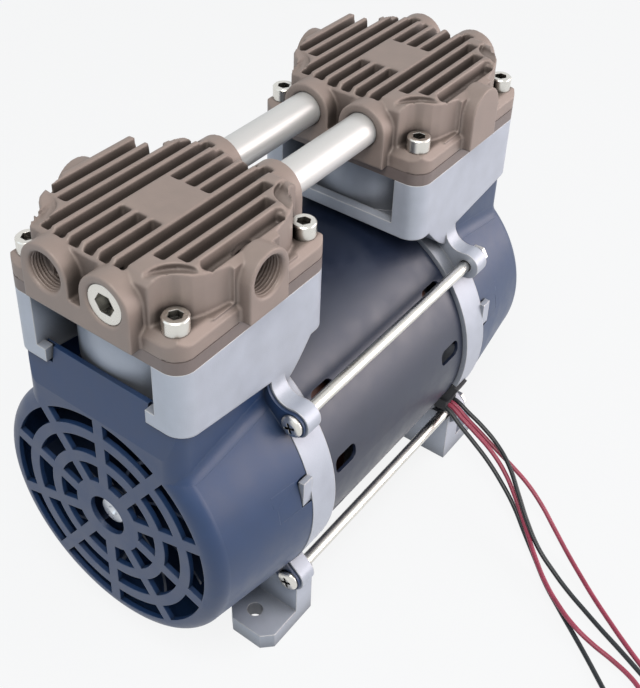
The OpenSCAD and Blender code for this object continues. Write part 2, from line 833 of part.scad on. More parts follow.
module near_head() {
    at_near_head() head() {
        for (x = [-1, 1]) translate([x * port_x, -port_face_y, port_z]) port_bore(port_depth);
        translate([side_face_x, 0, port_z]) rotate(90) port_bore(side_port_depth);
        for (x = [-1, 1]) translate([x * port_x, port_face_y, port_z]) rotate(180) tube_socket();
    }
}
module far_head() {
    at_far_head() head()
        for (x = [-1, 1]) translate([x * port_x, -port_face_y, port_z]) tube_socket();
}

// Socket head screws
module cap_screw() {
    translate([0, 0, seat_z]) difference() {
        union() {
            cylinder(r = screw_head_r, h = screw_head_h - screw_edge);
            translate([0, 0, screw_head_h - screw_edge])
                cylinder(r1 = screw_head_r, r2 = screw_head_r - screw_edge, h = screw_edge);
            translate([0, 0, -screw_len]) cylinder(r = screw_r, h = screw_len + eps);
        }
        translate([0, 0, screw_head_h / 2])
            cylinder(r = screw_socket_af / 2 / cos(30), h = screw_head_h, $fn = 6);
    }
}
module head_screws() color([0.80, 0.80, 0.78]) four_screws() cap_screw();
module near_head_screws() at_near_head() head_screws();
module far_head_screws() at_far_head() head_screws();

// Transfer tubes, their seals and the port plug
module transfer_tube(x) {
    reach = crank_y - port_face_y + socket_depth - tube_end_gap;
    color([0.82, 0.83, 0.85]) along_y(-reach, reach) translate([x * port_x, port_z]) difference() {
        circle(tube_r);
        circle(tube_r - tube_wall);
    }
}
module intake_transfer_tube() transfer_tube(-1);
module exhaust_transfer_tube() transfer_tube(1);
module tube_seals() {
    color([0.10, 0.10, 0.10]) for (x = [-1, 1], y = [-1, 1])
        translate([x * port_x, y * (crank_y - port_face_y + seal_reach), port_z]) rotate([90, 0, 0])
            rotate_extrude() translate([tube_r + seal_groove_r, 0])
                circle(seal_groove_r - fit_gap, $fn = 32);
}
module port_plug() {
    color([0.80, 0.80, 0.80])
    translate([port_x, -crank_y - port_face_y + plug_set_back, port_z]) difference() {
        along_y(0, plug_len) circle(port_r - fit_gap);
        translate([0, plug_socket_depth, 0]) rotate([90, 0, 0])
            cylinder(r = plug_socket_af / 2 / cos(30), h = plug_socket_depth + eps, $fn = 6);
    }
}

// Ball bearings, one sealed unit each
module bearing(bore, outer, width) {
    // From y = 0 outwards
    revolve_y(0) difference() {
        translate([bore, 0]) square([outer - bore, width]);
        for (y = [-eps, width - bearing_shield_in]) translate([bore + bearing_ring_w, y])
            square([outer - bore - 2 * bearing_ring_w, bearing_shield_in + eps]);
    }
}
module main_bearing() {
    color([0.70, 0.71, 0.73]) translate([0, flange_out - main_bearing_w, axis_height])
        bearing(shaft_bearing_r + run_gap, main_bearing_r, main_bearing_w);
}
module near_main_bearing() near() main_bearing();
module far_main_bearing() main_bearing();

// Motor
module stator_core() {
    color([0.45, 0.46, 0.48]) along_y(-stack_half, stack_half) at_axis() difference() {
        circle(stack_r);
        circle(stator_bore_r);
        for (i = [0:slot_count - 1]) rotate(i * 360 / slot_count)
            translate([stator_bore_r - eps, -slot_w / 2])
                square([slot_depth_r - stator_bore_r + eps, slot_w]);
    }
}
module winding() {
    w = winding_out_r - winding_in_r;
    color([0.72, 0.40, 0.20]) revolve_y()
        translate([winding_in_r + w / 2, stack_half + winding_len / 2 + winding_gap])
        rounded_rect(w, winding_len, winding_corner);
}
module near_winding() near() winding();
module far_winding() winding();
module vent_slot(y) {
    for (a = vent_slot_angles) translate([0, y, axis_height]) rotate([0, -a, 0])
        translate([shell_r - 2 * shell_wall, 0, 0]) rotate([0, 90, 0]) linear_extrude(4 * shell_wall)
            rounded_rect(vent_slot_h, vent_slot_len, vent_slot_corner);
}
module motor_shell() {
    color([0.28, 0.31, 0.38]) difference() {
        along_y(-shell_end, shell_end) at_axis() difference() {
            circle(shell_r);
            circle(shell_r - shell_wall);
        }
        for (y = [-1, 1]) vent_slot(y * vent_slot_y);
        grommet_notch();
    }
}
module shaft_half() {
    revolve_y() {
        square([shaft_core_r, boss_in - core_end_gap]);
        square([shaft_bearing_r, shaft_step]);
        polygon([[0, 0], [shaft_end_r, 0], [shaft_end_r, shaft_tip - shaft_edge],
            [shaft_end_r - shaft_edge, shaft_tip], [0, shaft_tip]]);
    }
}
module motor_shaft() {
    color([0.78, 0.79, 0.80]) {
        shaft_half();
        near() shaft_half();
    }
}
module rotor_core() {
    color([0.52, 0.52, 0.54]) revolve_y() {
        translate([shaft_core_r + fit_gap, -stack_half])
            square([rotor_r - shaft_core_r - fit_gap, 2 * stack_half]);
        for (y = [-stack_half - end_ring_w, stack_half - eps]) translate([end_ring_in_r, y])
            square([rotor_r - end_ring_step - end_ring_in_r, end_ring_w + eps]);
    }
}

// Eccentric with counterweight; side is +1 where the throw points up at rest
module eccentric(side) {
    y1 = eccentric_in + eccentric_w;
    color([0.50, 0.50, 0.52]) difference() {
        union() {
            along_y(eccentric_in, y1) translate([0, axis_height + side * throw])
                circle(rod_bearing_bore_r - run_gap);
            along_y(y1 - hub_lap, y1 + hub_w) at_axis() circle(hub_r);
            along_y(y1 + crank_gap, y1 + crank_gap + weight_t) at_axis() intersection() {
                circle(weight_r);
                polygon([[0, 0], polar(2 * weight_r, -side * 90 - weight_angle / 2),
                    polar(2 * weight_r, -side * 90 - weight_angle / 6),
                    polar(2 * weight_r, -side * 90 + weight_angle / 6),
                    polar(2 * weight_r, -side * 90 + weight_angle / 2)]);
            }
        }
        along_y(eccentric_in - eps, y1 + hub_w + eps) at_axis() circle(shaft_end_r + fit_gap);
        translate([0, y1 + hub_w / 2, axis_height]) rotate([side > 0 ? 0 : 180, 0, 0])
            cylinder(r = set_screw_r + fit_gap, h = 2 * hub_r);
    }
}
module near_eccentric() near() eccentric(1);
module far_eccentric() eccentric(-1);
module set_screw(side) {
    low = shaft_end_r + set_screw_gap;
    top = hub_r - set_screw_recess;
    translate([0, eccentric_in + eccentric_w + hub_w / 2, axis_height])
        rotate([side > 0 ? 0 : 180, 0, 0]) difference() {
            translate([0, 0, low]) cylinder(r = set_screw_r, h = top - low);
            translate([0, 0, top - set_screw_socket])
                cylinder(r = set_screw_r / 2, h = set_screw_socket + eps, $fn = 6);
        }
}
module eccentric_screws() {
    color([0.25, 0.25, 0.27]) {
        near() set_screw(1);
        set_screw(-1);
    }
}

// Fan on the shaft end
module blade() {
    intersection() {
        translate([blade_root_r, -blade_curve_r]) difference() {
            circle(blade_curve_r);
            circle(blade_curve_r - blade_t);
        }
        difference() {
            circle(fan_r - blade_edge);
            circle(fan_hub_r - eps);
        }
        translate([0, -fan_r / 2]) square([fan_r, fan_r]);
    }
}
module fan() {
    color([0.10, 0.11, 0.13]) difference() {
        union() {
            along_y(fan_in, fan_in + fan_plate_t) at_axis() circle(fan_r);
            along_y(fan_in, fan_in + fan_w) at_axis() circle(fan_hub_r);
            along_y(fan_in + fan_plate_t - eps, fan_in + fan_w - blade_edge) at_axis()
                for (i = [0:blade_count - 1]) rotate(i * 360 / blade_count) blade();
        }
        along_y(fan_in - eps, fan_in + fan_w + eps) at_axis() circle(shaft_end_r + fit_gap);
    }
}
module near_fan() near() fan();
module far_fan() fan();

// Connecting rod, its bearing and the piston crown; side as for the eccentric
module connecting_rod(side) {
    zc = axis_height + side * throw;
    ring_r = rod_bearing_r + rod_ring_wall;
    top = zc + rod_len;
    color([0.74, 0.75, 0.77]) difference() {
        union() {
            along_y(crank_y - rod_w / 2, crank_y + rod_w / 2) translate([0, zc]) circle(ring_r);
            along_y(crank_y - rod_w / 2, crank_y + rod_w / 2) translate([-shank_w / 2, zc])
                square([shank_w, rod_len - crown_t / 2]);
            translate([0, crank_y, top - crown_t]) cylinder(r = cup_r - crown_step, h = crown_t);
            translate([0, crank_y, top - 2 * crown_t])
                cylinder(r1 = shank_w / 2, r2 = cup_r - 2 * crown_step, h = crown_t + eps);
        }
        along_y(crank_y - rod_w, crank_y + rod_w) translate([0, zc]) circle(rod_bearing_r + fit_gap);
        for (y = [crank_y - rod_w / 2 - eps, crank_y + shank_web / 2])
            along_y(y, y + rod_w / 2 - shank_web / 2 + eps)
                translate([shank_rib - shank_w / 2, zc + ring_r + shank_rib])
                    square([shank_w - 2 * shank_rib, rod_len - ring_r - 2 * shank_rib - 2 * crown_t]);
        translate([0, crank_y, top - clamp_screw_len - clamp_seat_gap])
            cylinder(r = clamp_screw_r + fit_gap, h = 2 * clamp_screw_len);
    }
}
module rod_bearing(side) {
    color([0.70, 0.71, 0.73]) translate([0, crank_y - rod_bearing_w / 2, axis_height + side * throw])
        bearing(rod_bearing_bore_r, rod_bearing_r, rod_bearing_w);
}
module at_crown(side) translate([0, crank_y, axis_height + side * throw + rod_len]) children();
module piston_cup(side) {
    color([0.86, 0.84, 0.78]) at_crown(side) rotate_extrude() {
        translate([clamp_screw_r + screw_gap, 0]) square([cup_r - clamp_screw_r - screw_gap, cup_t]);
        translate([cup_r - cup_lip_t, 0]) square([cup_lip_t, cup_lip_h]);
    }
}
module cup_clamp(side) {
    r = cup_r - cup_lip_t - clamp_side_gap;
    color([0.74, 0.75, 0.77]) at_crown(side) translate([0, 0, cup_t]) difference() {
        cylinder(r = r, h = clamp_t);
        translate([0, 0, -eps]) cylinder(r = clamp_screw_r + screw_gap, h = clamp_t + 2 * eps);
        translate([0, 0, clamp_t - clamp_head_h - clamp_seat_gap])
            cylinder(r = clamp_head_r + clamp_seat_gap, h = clamp_head_h + clamp_seat_gap + eps);
    }
}
module clamp_screw(side) {
    seat = cup_t + clamp_t - clamp_head_h - clamp_seat_gap + fit_gap;
    color([0.30, 0.30, 0.32]) at_crown(side) translate([0, 0, seat]) difference() {
        union() {
            cylinder(r = clamp_head_r, h = clamp_head_h);
            translate([0, 0, clamp_head_h - clamp_screw_len])
                cylinder(r = clamp_screw_r, h = clamp_screw_len - eps);
        }
        translate([0, 0, clamp_head_h / 2])
            cylinder(r = clamp_screw_r * clamp_socket_share, h = clamp_head_h, $fn = 6);
    }
}
module near_connecting_rod() near() connecting_rod(1);
module near_rod_bearing() near() rod_bearing(1);
module near_piston_cup() near() piston_cup(1);
module near_cup_clamp() near() cup_clamp(1);
module near_clamp_screw() near() clamp_screw(1);
module far_connecting_rod() connecting_rod(-1);
module far_rod_bearing() rod_bearing(-1);
module far_piston_cup() piston_cup(-1);
module far_cup_clamp() cup_clamp(-1);
module far_clamp_screw() clamp_screw(-1);

// Tie rods with domed heads at the near end and nuts at the far end, on the ears of the covers
module tie_rods() {
    seat = cover_back + ear_t + fit_gap;
    color([0.82, 0.82, 0.80]) difference() {
        union() {
            along_y(-seat - eps, seat + rod_nut_h + rod_proud) four_rods() circle(tie_rod_r);
            four_rods_along() rotate([90, 0, 0]) translate([0, 0, seat]) rod_head();
        }
        for (a = [0, 90]) along_y(-seat - 2 * rod_head_h, -seat - rod_head_h / 2)
            four_rods() rotate(a + rod_slot_angle) square([rod_head_r, rod_slot_w], center = true);
    }
}
module four_rods_along() {
    for (x = [-1, 1], z = [-1, 1]) translate([x * rod_x, 0, axis_height + z * rod_z]) children();
}
module rod_head() {
    // A short wall, then a dome that ends in a flat of half the head's radius
    wall = rod_head_h * head_wall_share;
    rotate_extrude() polygon([[0, 0], [rod_head_r, 0], for (a = [0:15:60])
        [rod_head_r * cos(a), wall + (rod_head_h - wall) * sin(a) / sin(60)], [0, rod_head_h]]);
}
module tie_rod_nuts() {
    seat = cover_back + ear_t + fit_gap;
    color([0.80, 0.80, 0.78]) along_y(seat, seat + rod_nut_h) four_rods() difference() {
        circle(rod_nut_af / 2 / cos(30), $fn = 6);
        circle(tie_rod_r + fit_gap);
    }
}

// Grommet and the four leads
module lead_grommet() {
    color([0.30, 0.30, 0.32]) {
        along_y(collar_in, grommet_y + grommet_half_y)
            grommet_sector(grommet_r, shell_r - shell_wall - grommet_lip, 0);
        translate([grommet_face_x - grommet_block, grommet_y - grommet_half_y, grommet_z - grommet_half_z])
            cube([grommet_block, 2 * grommet_half_y, 2 * grommet_half_z]);
    }
}

// Routes of the leads, from inside the grommet to their free ends
black_route_a = [[55, 60.5, 38.8], [60, 60.4, 38.4], [67, 59.4, 36], [76, 58.7, 32.2], [86, 56.4, 28],
    [96, 51, 24.2], [106, 42.9, 18.9], [116, 34.7, 13.4], [126, 28.2, 8.4], [136, 23.9, 4.8],
    [146, 19.8, 2.5], [156, 15.8, 1.5], [166, 11.5, 1.2], [176, 7.3, 1.2], [188, 2, 1.2], [200, -3.5, 1.2]];
red_route_a = [[55, 58.1, 38.8], [60, 57.9, 38], [67, 57.2, 34.4], [76, 57, 29.6], [86, 56, 25],
    [96, 54.9, 20.8], [106, 53.4, 16.2], [116, 50, 11.4], [126, 44.7, 6.9], [136, 38.6, 3.6],
    [146, 32, 1.9], [156, 25.1, 1.2], [166, 18.4, 1.2], [176, 12, 1.2], [188, 5, 1.2], [198, -0.2, 1.2]];
red_route_b = [[55, 55.7, 38.8], [60, 55.2, 38.3], [67, 53.9, 35.6], [76, 53.1, 31.4], [86, 51.5, 26.8],
    [96, 48, 21.4], [106, 41.6, 15.9], [116, 33.5, 11], [126, 24, 8], [136, 15.6, 5.6],
    [146, 9, 4.4], [156, 4, 3.7], [166, 1.7, 2.2], [176, 0.3, 1.3], [186, -2.6, 1.2], [196, -8, 1.2]];
black_route_b = [[55, 53.3, 38.8], [60, 52.6, 37.8], [67, 51.2, 34], [76, 50, 29], [86, 47.8, 24],
    [96, 44.6, 18.4], [106, 40, 12.9], [116, 33, 8], [126, 25.6, 4.1], [136, 17.4, 1.9],
    [146, 10.1, 1.2], [156, 2.8, 1.2], [166, -4.6, 1.2], [176, -12.4, 1.2], [185, -19.6, 1.2]];
function unit(v) = v / norm(v);
function tangent(p, i) = unit(p[min(i + 1, len(p) - 1)] - p[max(i - 1, 0)]);
function ring(p, i) = let (t = tangent(p, i), s = unit(cross(t, [0, 0, 1])), u = cross(s, t))
    [for (k = [0:lead_sides - 1]) p[i] + lead_d / 2 * (cos(360 * k / lead_sides) * s
        + sin(360 * k / lead_sides) * u)];
module lead(p) {
    n = lead_sides;
    last = (len(p) - 1) * n;
    points = [for (i = [0:len(p) - 1]) each ring(p, i)];
    sides = [for (i = [0:len(p) - 2], k = [0:n - 1])
        [i * n + k, i * n + (k + 1) % n, (i + 1) * n + (k + 1) % n, (i + 1) * n + k]];
    polyhedron(points, concat([[for (k = [n - 1:-1:0]) k]], sides, [[for (k = [0:n - 1]) last + k]]),
        convexity = 6);
}
module black_lead_a() color([0.08, 0.09, 0.10]) lead(black_route_a);
module red_lead_a() color([0.60, 0.16, 0.24]) lead(red_route_a);
module red_lead_b() color([0.60, 0.16, 0.24]) lead(red_route_b);
module black_lead_b() color([0.08, 0.09, 0.10]) lead(black_route_b);

near_crankcase();
far_crankcase();
near_fan_cover();
far_fan_cover();
near_cylinder();
far_cylinder();
near_valve_plate();
far_valve_plate();
near_reed_hardware();
far_reed_hardware();
near_head_seal();
far_head_seal();
near_head();
far_head();
near_head_screws();
far_head_screws();
intake_transfer_tube();
exhaust_transfer_tube();
tube_seals();
port_plug();
near_main_bearing();
far_main_bearing();
stator_core();
near_winding();
far_winding();
motor_shell();
tie_rods();
tie_rod_nuts();
lead_grommet();
black_lead_a();
red_lead_a();
red_lead_b();
black_lead_b();
motor_shaft();
rotor_core();
near_eccentric();
far_eccentric();
eccentric_screws();
near_fan();
far_fan();
near_connecting_rod();
near_rod_bearing();
near_piston_cup();
near_cup_clamp();
near_clamp_screw();
far_connecting_rod();
far_rod_bearing();
far_piston_cup();
far_cup_clamp();
far_clamp_screw();
near_intake_reed();
near_exhaust_reed();
far_intake_reed();
far_exhaust_reed();
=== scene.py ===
"""Twin-cylinder piston vacuum pump, dressed for its photograph. Metres, in the frame of the CAD model."""

import json
import math

import bmesh
import bpy
from mathutils import Matrix, Vector


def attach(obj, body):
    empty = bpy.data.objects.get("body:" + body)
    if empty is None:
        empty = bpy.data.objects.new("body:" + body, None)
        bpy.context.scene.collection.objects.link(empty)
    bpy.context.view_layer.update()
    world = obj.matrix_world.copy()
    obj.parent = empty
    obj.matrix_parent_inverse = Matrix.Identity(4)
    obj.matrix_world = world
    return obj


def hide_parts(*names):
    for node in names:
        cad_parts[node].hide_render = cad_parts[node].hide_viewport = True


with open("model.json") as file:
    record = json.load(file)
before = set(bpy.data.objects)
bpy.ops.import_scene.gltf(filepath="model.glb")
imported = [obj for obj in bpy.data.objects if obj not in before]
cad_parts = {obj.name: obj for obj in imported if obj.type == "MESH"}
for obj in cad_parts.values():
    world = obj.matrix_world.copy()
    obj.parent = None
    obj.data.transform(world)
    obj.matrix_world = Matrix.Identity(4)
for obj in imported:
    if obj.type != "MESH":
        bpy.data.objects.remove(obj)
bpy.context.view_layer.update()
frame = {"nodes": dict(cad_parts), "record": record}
nodes = frame["nodes"]
MM = 0.001
IMAGE_W, IMAGE_H = 640, 688


def srgb(r, g, b):
    """A screen colour, 0 to 255, as the linear colour that a shader takes."""
    return tuple(c / 255 / 12.92 if c < 11 else ((c / 255 + 0.055) / 1.055) ** 2.4 for c in (r, g, b))


# Camera, at the photograph's place
SENSOR_MM = 36
AZIMUTH, ELEVATION, ROLL = (math.radians(a) for a in (36.927, 34.792, 1.146))
FOCAL_PX, CENTRE_X, CENTRE_Y = 1111.0, 288.66, 225.27
CAMERA_AT = Vector((0.23421, -0.31346, 0.42291))


def add_camera():
    """The camera whose place, turn and shift were fitted to edges of the pump in the photograph."""
    back = Vector((math.sin(AZIMUTH) * math.cos(ELEVATION), -math.cos(AZIMUTH) * math.cos(ELEVATION),
                   math.sin(ELEVATION)))
    level = Vector((math.cos(AZIMUTH), math.sin(AZIMUTH), 0))
    upright = back.cross(level)
    right = math.cos(ROLL) * level + math.sin(ROLL) * upright
    up = math.cos(ROLL) * upright - math.sin(ROLL) * level
    data = bpy.data.cameras.new("camera")
    data.sensor_width = SENSOR_MM
    data.lens = FOCAL_PX * SENSOR_MM / IMAGE_H
    data.shift_x = (IMAGE_W / 2 - CENTRE_X) / IMAGE_H
    data.shift_y = (CENTRE_Y - IMAGE_H / 2) / IMAGE_H
    camera = bpy.data.objects.new("camera", data)
    bpy.context.scene.collection.objects.link(camera)
    turn = Matrix((right, up, back)).transposed().to_4x4()
    camera.matrix_world = Matrix.Translation(CAMERA_AT) @ turn
    bpy.context.scene.camera = camera


add_camera()


# Mesh helpers
def make(name, points, faces, slot, body="pump_body", sharp=35):
    """A mesh piece from points in millimetres, smooth except at edges sharper than that angle."""
    mesh = bpy.data.meshes.new(name)
    mesh.from_pydata([Vector(p) * MM for p in points], [], faces)
    bm = bmesh.new()
    bm.from_mesh(mesh)
    bmesh.ops.recalc_face_normals(bm, faces=bm.faces)
    for face in bm.faces:
        face.smooth = True
    for edge in bm.edges:
        edge.smooth = len(edge.link_faces) == 2 and edge.calc_face_angle(0) < math.radians(sharp)
    bm.to_mesh(mesh)
    bm.free()
    obj = bpy.data.objects.new(name, mesh)
    bpy.context.scene.collection.objects.link(obj)
    mesh.materials.append(finishes[slot])
    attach(obj, body)
    return obj


def sweep(path, outline):
    """Points and faces of an outline of (side, up) offsets carried along an open path without twisting."""
    path = [Vector(p) for p in path]
    count, sides = len(path), len(outline)
    points, side = [], None
    for i, at in enumerate(path):
        ahead = path[i + 1] if i < count - 1 else at
        behind = path[i - 1] if i > 0 else at
        along = (ahead - behind).normalized()
        if side is None:
            side = along.cross(Vector((0.1, 0.2, 1))).normalized()
        side = (side - along * side.dot(along)).normalized()
        up = along.cross(side)
        points += [at + side * a + up * b for a, b in outline]
    return points, tube_faces(count, sides) + tube_ends(count, sides)


def tube_faces(count, sides):
    """The faces between count outlines of sides points each."""
    return [(i * sides + k, i * sides + (k + 1) % sides, (i + 1) * sides + (k + 1) % sides,
             (i + 1) * sides + k) for i in range(count - 1) for k in range(sides)]


def tube_ends(count, sides):
    """The two end faces of such a tube."""
    return [tuple(range(sides)), tuple(range((count - 1) * sides, count * sides))]


def ring(radius, sides):
    """A round outline."""
    turns = [2 * math.pi * k / sides for k in range(sides)]
    return [(radius * math.cos(turn), radius * math.sin(turn)) for turn in turns]


def join(parts):
    """Several (points, faces) as one."""
    points, faces = [], []
    for p, f in parts:
        faces += [tuple(i + len(points) for i in face) for face in f]
        points += p
    return points, faces


# Finishes
finishes = {}
NODE_SAMPLES = 6
BUMP_DEPTH, GLOSS_SPREAD, LEAST_ROUGH = 0.1, 0.05, 0.03


def finish(slot, colour, rough, metal=0.0, edge=None, bevel=0.0, mottle=0.12, mottle_size=9.0,
           grain=0.3, grain_size=0.5, streak=None, specular=0.5, gap_shade=1.0, reach=12.0):
    """A procedural material: mottled colour and gloss, cast or moulded grain, lighter edges painted as
    highlight and wear, and painted shade in narrow gaps.

    Sizes are in millimetres. edge is the lighter colour mixed onto rounded edges, a painted edge highlight as
    well as wear, streak stretches the grain along one axis, and gap_shade is the share of the colour left in
    gaps about as narrow as reach, a painted shade that ambient occlusion puts into the colour.
    """
    mat = bpy.data.materials.new(slot)
    mat.use_nodes = True
    tree = mat.node_tree
    link = tree.links.new
    shader = tree.nodes["Principled BSDF"]
    shader.inputs["Metallic"].default_value = metal
    shader.inputs["Specular IOR Level"].default_value = specular
    where = tree.nodes.new("ShaderNodeTexCoord").outputs["Object"]
    if streak:
        mapping = tree.nodes.new("ShaderNodeMapping")
        mapping.inputs["Scale"].default_value = streak
        link(where, mapping.inputs["Vector"])
        where = mapping.outputs["Vector"]

    def noise(size, detail):
        """Cloudy noise with lumps of about that size."""
        node = tree.nodes.new("ShaderNodeTexNoise")
        node.inputs["Scale"].default_value = 1 / (size * MM)
        node.inputs["Detail"].default_value = detail
        link(where, node.inputs["Vector"])
        return node.outputs["Fac"]

    def spread(value, low, high, start=0.3, stop=0.7):
        """The value's stretch from start to stop, spread from low to high."""
        node = tree.nodes.new("ShaderNodeMapRange")
        for key, number in zip(("From Min", "From Max", "To Min", "To Max"), (start, stop, low, high)):
            node.inputs[key].default_value = number
        link(value, node.inputs["Value"])
        return node.outputs["Result"]

    def mix(factor, a, b):
        """One colour for factor 0 and the other for 1."""
        node = tree.nodes.new("ShaderNodeMix")
        node.data_type = "RGBA"
        for socket, value in zip((node.inputs[0], node.inputs[6], node.inputs[7]), (factor, a, b)):
            if isinstance(value, tuple):
                socket.default_value = (*value, 1)
            else:
                link(value, socket)
        return node.outputs[2]

    cloud = noise(mottle_size, 3)
    base = srgb(*colour)
    dim, bright = (tuple(c * (1 + shift) for c in base) for shift in (-mottle, mottle))
    tint = mix(spread(cloud, 0, 1), dim, bright)
    fine = noise(grain_size, 2)
    gloss = spread(cloud, max(rough - GLOSS_SPREAD, LEAST_ROUGH), rough + GLOSS_SPREAD)
    link(gloss, shader.inputs["Roughness"])
    bump = tree.nodes.new("ShaderNodeBump")
    bump.inputs["Strength"].default_value = grain
    bump.inputs["Distance"].default_value = BUMP_DEPTH * MM
    link(fine, bump.inputs["Height"])
    if bevel:
        round_edge = tree.nodes.new("ShaderNodeBevel")
        round_edge.samples = NODE_SAMPLES
        round_edge.inputs["Radius"].default_value = bevel * MM
        link(round_edge.outputs["Normal"], bump.inputs["Normal"])
        # Painted edge highlight, together with wear: the lighter edge colour is mixed onto rounded edges.
        if edge:
            facing = tree.nodes.new("ShaderNodeVectorMath")
            facing.operation = "DOT_PRODUCT"
            geometry = tree.nodes.new("ShaderNodeNewGeometry")
            link(round_edge.outputs["Normal"], facing.inputs[0])
            link(geometry.outputs["Normal"], facing.inputs[1])
            edge_highlight_and_wear = spread(facing.outputs["Value"], 0.75, 0, 0.86, 0.985)
            tint = mix(edge_highlight_and_wear, tint, srgb(*edge))
    # Painted shade: ambient occlusion darkens the colour in narrow gaps and hollows.
    if gap_shade < 1:
        gap = tree.nodes.new("ShaderNodeAmbientOcclusion")
        gap.samples = NODE_SAMPLES
        gap.inputs["Distance"].default_value = reach * MM
        open_share = spread(gap.outputs["AO"], 0, 1, 0.4, 0.9)
        tint = mix(open_share, tuple(c * gap_shade for c in base), tint)
    link(tint, shader.inputs["Base Color"])
    link(bump.outputs["Normal"], shader.inputs["Normal"])
    finishes[slot] = mat


# Finishes with a gap share below 1 have shade painted into their narrow gaps.
finish("cast_body", (176, 182, 194), 0.42, 0.25, edge=(224, 221, 215), bevel=0.7, mottle=0.05,
       grain=0.5, grain_size=0.6, gap_shade=0.35, reach=15.0)
finish("head_coating", (142, 128, 121), 0.5, 0.1, edge=(160, 148, 141), bevel=0.6, mottle=0.06,
       grain=0.5, grain_size=0.5, gap_shade=0.2, reach=9.0)
finish("cover_plastic", (30, 54, 91), 0.4, edge=(56, 78, 110), bevel=0.5, mottle=0.05,
       grain=0.1, grain_size=0.35, specular=0.6, gap_shade=0.22, reach=9.0)
finish("shell_paint", (22, 33, 56), 0.42, 0.2, bevel=0.3, mottle=0.06, grain=0.1, grain_size=0.8,
       specular=1.0)
finish("cylinder_wall", (70, 90, 118), 0.45, 0.3, streak=(1, 1, 6), mottle=0.08)
finish("valve_plate", (118, 107, 104), 0.45, 0.2, mottle=0.06, streak=(1, 6, 1))
finish("valve_steel", (186, 190, 198), 0.25, 1.0, mottle=0.05, streak=(1, 5, 1))
finish("seal_rubber", (34, 36, 40), 0.7, mottle=0.08, grain=0.2)
finish("zinc_steel", (220, 218, 212), 0.28, 1.0, bevel=0.5, mottle=0.02, mottle_size=6,
       grain=0.02, gap_shade=0.05, reach=4.0)
finish("tube_metal", (204, 204, 203), 0.38, 0.4, bevel=0.2, mottle=0.03, streak=(1, 0.08, 1),
       grain=0.2)
finish("bearing_steel", (176, 180, 186), 0.22, 1.0, mottle=0.04)
finish("core_steel", (96, 98, 102), 0.5, 0.8, mottle=0.1, streak=(1, 12, 1), grain=0.8)
finish("copper_wire", (58, 32, 24), 0.5, 0.5, mottle=0.2, mottle_size=2, grain=0.9, grain_size=0.8)
finish("grommet_rubber", (44, 46, 50), 0.65, bevel=0.4, mottle=0.08)
finish("lead_black", (30, 36, 40), 0.4, mottle=0.1, mottle_size=6, grain=0.15)
finish("lead_red", (150, 58, 80), 0.4, mottle=0.12, mottle_size=6, grain=0.15)
finish("shaft_steel", (208, 212, 218), 0.3, 0.9, mottle=0.02, grain=0.02, streak=(6, 1, 6))
finish("eccentric_iron", (104, 106, 110), 0.5, 0.8, bevel=0.3, mottle=0.1)
finish("dark_screw", (40, 41, 44), 0.38, 0.8, bevel=0.2, mottle=0.08)
finish("fan_plastic", (22, 36, 60), 0.45, bevel=0.3, mottle=0.06)
finish("rod_metal", (186, 190, 196), 0.42, 0.6, edge=(220, 222, 226), bevel=0.5, mottle=0.08)
finish("cup_polymer", (70, 62, 54), 0.5, mottle=0.1)

for part in frame["record"]["subparts"]:
    node = nodes[part["node"]]
    node.data.materials.clear()
    node.data.materials.append(finishes[part["material_slot"]])

# Leads, on the routes of the CAD model
LEAD_D = 2.2
STRIPPED, STRANDS_INSIDE = 4.0, 0.6
STRAND_COUNT, STRAND_R, STRAND_RING_R, STRAND_STEPS = 7, 0.25, 0.5, 8
ROUTES = {
    "black_lead_a": [(55, 60.5, 38.8), (60, 60.4, 38.4), (67, 59.4, 36), (76, 58.7, 32.2), (86, 56.4, 28),
                     (96, 51, 24.2), (106, 42.9, 18.9), (116, 34.7, 13.4), (126, 28.2, 8.4), (136, 23.9, 4.8),
                     (146, 19.8, 2.5), (156, 15.8, 1.5), (166, 11.5, 1.2), (176, 7.3, 1.2), (188, 2, 1.2),
                     (200, -3.5, 1.2)],
    "red_lead_a": [(55, 58.1, 38.8), (60, 57.9, 38), (67, 57.2, 34.4), (76, 57, 29.6), (86, 56, 25),
                   (96, 54.9, 20.8), (106, 53.4, 16.2), (116, 50, 11.4), (126, 44.7, 6.9), (136, 38.6, 3.6),
                   (146, 32, 1.9), (156, 25.1, 1.2), (166, 18.4, 1.2), (176, 12, 1.2), (188, 5, 1.2),
                   (198, -0.2, 1.2)],
    "red_lead_b": [(55, 55.7, 38.8), (60, 55.2, 38.3), (67, 53.9, 35.6), (76, 53.1, 31.4), (86, 51.5, 26.8),
                   (96, 48, 21.4), (106, 41.6, 15.9), (116, 33.5, 11), (126, 24, 8), (136, 15.6, 5.6),
                   (146, 9, 4.4), (156, 4, 3.7), (166, 1.7, 2.2), (176, 0.3, 1.3), (186, -2.6, 1.2),
                   (196, -8, 1.2)],
    "black_lead_b": [(55, 53.3, 38.8), (60, 52.6, 37.8), (67, 51.2, 34), (76, 50, 29), (86, 47.8, 24),
                     (96, 44.6, 18.4), (106, 40, 12.9), (116, 33, 8), (126, 25.6, 4.1), (136, 17.4, 1.9),
                     (146, 10.1, 1.2), (156, 2.8, 1.2), (166, -4.6, 1.2), (176, -12.4, 1.2),
                     (185, -19.6, 1.2)],
}


